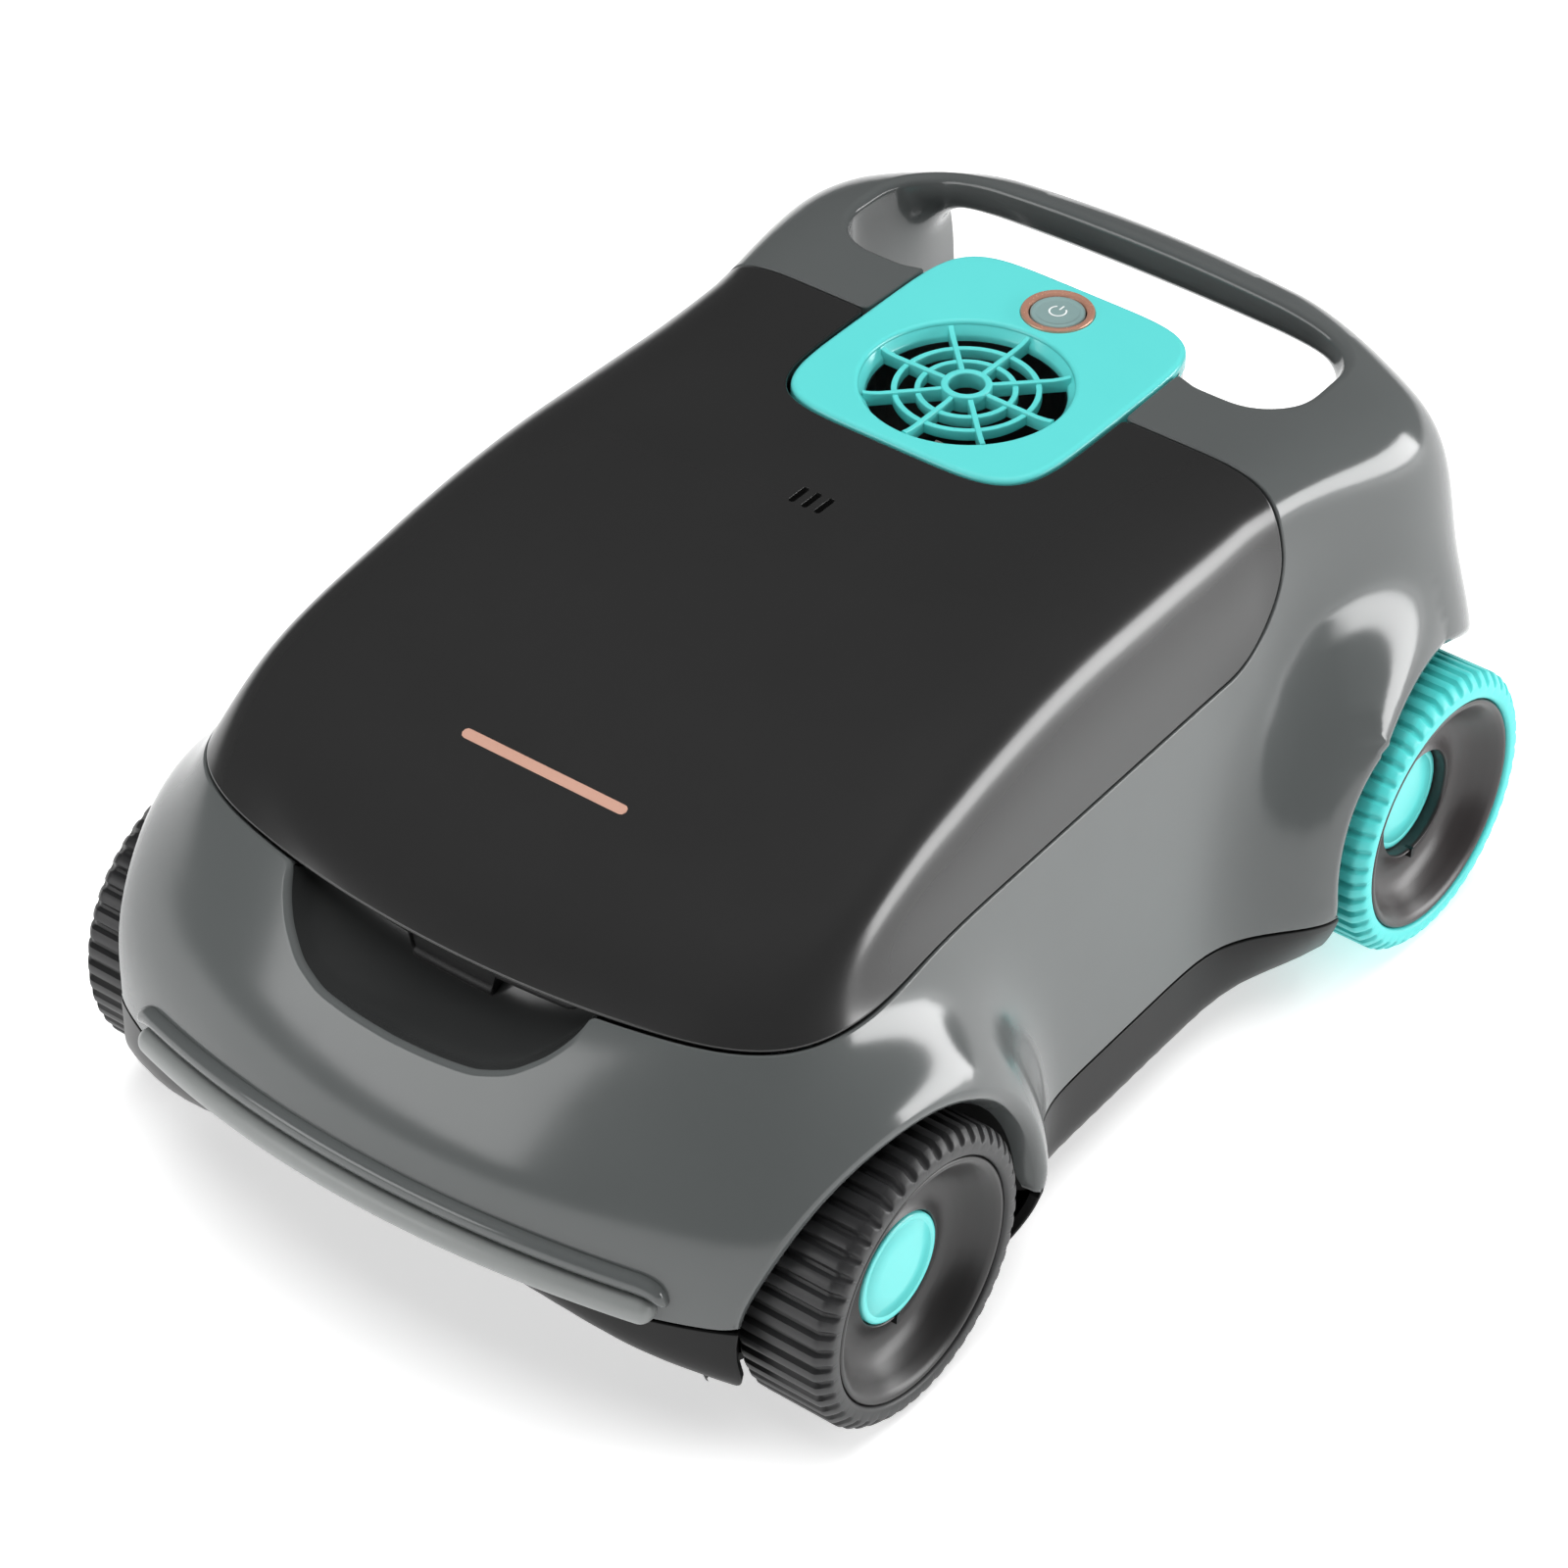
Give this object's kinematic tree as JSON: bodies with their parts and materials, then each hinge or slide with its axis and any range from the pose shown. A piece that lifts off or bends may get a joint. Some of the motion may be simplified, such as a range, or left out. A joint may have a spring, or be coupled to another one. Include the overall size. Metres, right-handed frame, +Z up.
{
  "type": "pool cleaner",
  "caption": "Cordless wheeled pool cleaner: hollow hull with a carrying handle, a hinged lid over a filter basket, a top jet grille with pump, a button and driven wheels.",
  "frame": {"origin": "middle of the object in plan, on the surface the wheels stand on", "axes": "+Z up, -Y towards the front bumper, +Y towards the carrying handle, +X to the side of the drive motor named right"},
  "size_m": [0.3022, 0.4316, 0.1985],
  "materials": {
    "shell_gloss_grey": "high-gloss moulded ABS",
    "lid_gloss_charcoal": "high-gloss moulded ABS",
    "panel_gloss_aqua": "high-gloss moulded ABS",
    "tyre_aqua": "satin moulded TPE",
    "tyre_black": "satin moulded TPE",
    "hub_satin_dark": "satin moulded plastic",
    "bumper_grey": "satin overmoulded TPE",
    "chassis_black": "satin moulded plastic",
    "bezel_rose_metal": "rose-gold metal finish",
    "button_clear": "clear polycarbonate over a pale insert",
    "steel": "stainless steel",
    "rubber_black": "matte moulded rubber",
    "filter_mesh": "woven polyester mesh",
    "board_green": "solder mask",
    "bush_white": "acetal",
    "cell_blue": "shrink sleeve"
  },
  "bodies": {
    "casing": {"upper_shell": "shell_gloss_grey", "lower_chassis": "chassis_black", "bumper_strip": "bumper_grey", "grille_panel": "panel_gloss_aqua", "button_bezel": "bezel_rose_metal", "pump_duct": "chassis_black", "motor_stand": "chassis_black", "pump_motor": "steel", "filter_basket": "chassis_black", "filter_screen_left": "filter_mesh", "filter_screen_right": "filter_mesh", "filter_screen_rear": "filter_mesh", "inlet_throat": "chassis_black", "battery_pack": "cell_blue", "control_box": "chassis_black", "control_cover": "chassis_black", "control_board": "board_green", "charge_socket": "rubber_black", "drive_motor_left": "steel", "drive_motor_right": "steel", "front_axle_left": "steel", "front_axle_right": "steel", "front_bush_left": "bush_white", "front_bush_right": "bush_white", "shaft_seal_left": "rubber_black", "shaft_seal_right": "rubber_black", "chassis_screw_1": "steel", "chassis_screw_2": "steel", "chassis_screw_3": "steel", "chassis_screw_4": "steel"},
    "filter_lid": {"lid": "lid_gloss_charcoal", "lid_latch": "chassis_black"},
    "button": {"power_button": "button_clear"},
    "pump_rotor": {"impeller": "bush_white"},
    "suction_flap": {"inlet_flap": "rubber_black"},
    "bail": {"basket_handle": "panel_gloss_aqua"},
    "socket_cap": {"charge_cap": "rubber_black"},
    "front_wheel_left": {"front_tyre_left": "tyre_black", "front_hub_left": "hub_satin_dark", "front_cap_left": "panel_gloss_aqua"},
    "front_wheel_right": {"front_tyre_right": "tyre_black", "front_hub_right": "hub_satin_dark", "front_cap_right": "panel_gloss_aqua"},
    "rear_wheel_left": {"rear_tyre_left": "tyre_aqua", "rear_hub_left": "hub_satin_dark", "rear_cap_left": "panel_gloss_aqua", "rear_shaft_left": "steel"},
    "rear_wheel_right": {"rear_tyre_right": "tyre_aqua", "rear_hub_right": "hub_satin_dark", "rear_cap_right": "panel_gloss_aqua", "rear_shaft_right": "steel"}
  },
  "joints": [
    {"name": "lid_hinge", "type": "hinge", "parent": "casing", "child": "filter_lid", "pos_m": [0, 0.109, 0.1929], "axis": [-1, 0, 0], "range_deg": [0, 80]},
    {"name": "button_press", "type": "slide", "parent": "casing", "child": "button", "axis": [0, 0, -1], "range_m": [0, 0.0015], "stiffness_N_per_m": 400},
    {"name": "pump_spin", "type": "hinge", "parent": "casing", "child": "pump_rotor", "pos_m": [0, 0.095, 0.15], "axis": [0, 0, 1], "continuous": true},
    {"name": "suction_flap_hinge", "type": "hinge", "parent": "casing", "child": "suction_flap", "pos_m": [0, -0.0445, 0.0396], "axis": [-1, 0, 0], "range_deg": [0, 60]},
    {"name": "basket_bail_hinge", "type": "hinge", "parent": "casing", "child": "bail", "pos_m": [0, -0.02, 0.143], "axis": [-1, 0, 0], "range_deg": [0, 90]},
    {"name": "socket_cap_hinge", "type": "hinge", "parent": "casing", "child": "socket_cap", "pos_m": [0, 0.2152, 0.049], "axis": [1, 0, 0], "range_deg": [0, 100]},
    {"name": "front_wheel_spin_left", "type": "hinge", "parent": "casing", "child": "front_wheel_left", "pos_m": [-0.1317, -0.1236, 0.05], "axis": [1, 0, 0], "continuous": true},
    {"name": "rear_wheel_spin_left", "type": "hinge", "parent": "casing", "child": "rear_wheel_left", "pos_m": [-0.1341, 0.1586, 0.05], "axis": [1, 0, 0], "continuous": true},
    {"name": "front_wheel_spin_right", "type": "hinge", "parent": "casing", "child": "front_wheel_right", "pos_m": [0.1317, -0.1236, 0.05], "axis": [1, 0, 0], "continuous": true},
    {"name": "rear_wheel_spin_right", "type": "hinge", "parent": "casing", "child": "rear_wheel_right", "pos_m": [0.1341, 0.1586, 0.05], "axis": [1, 0, 0], "continuous": true}
  ]
}
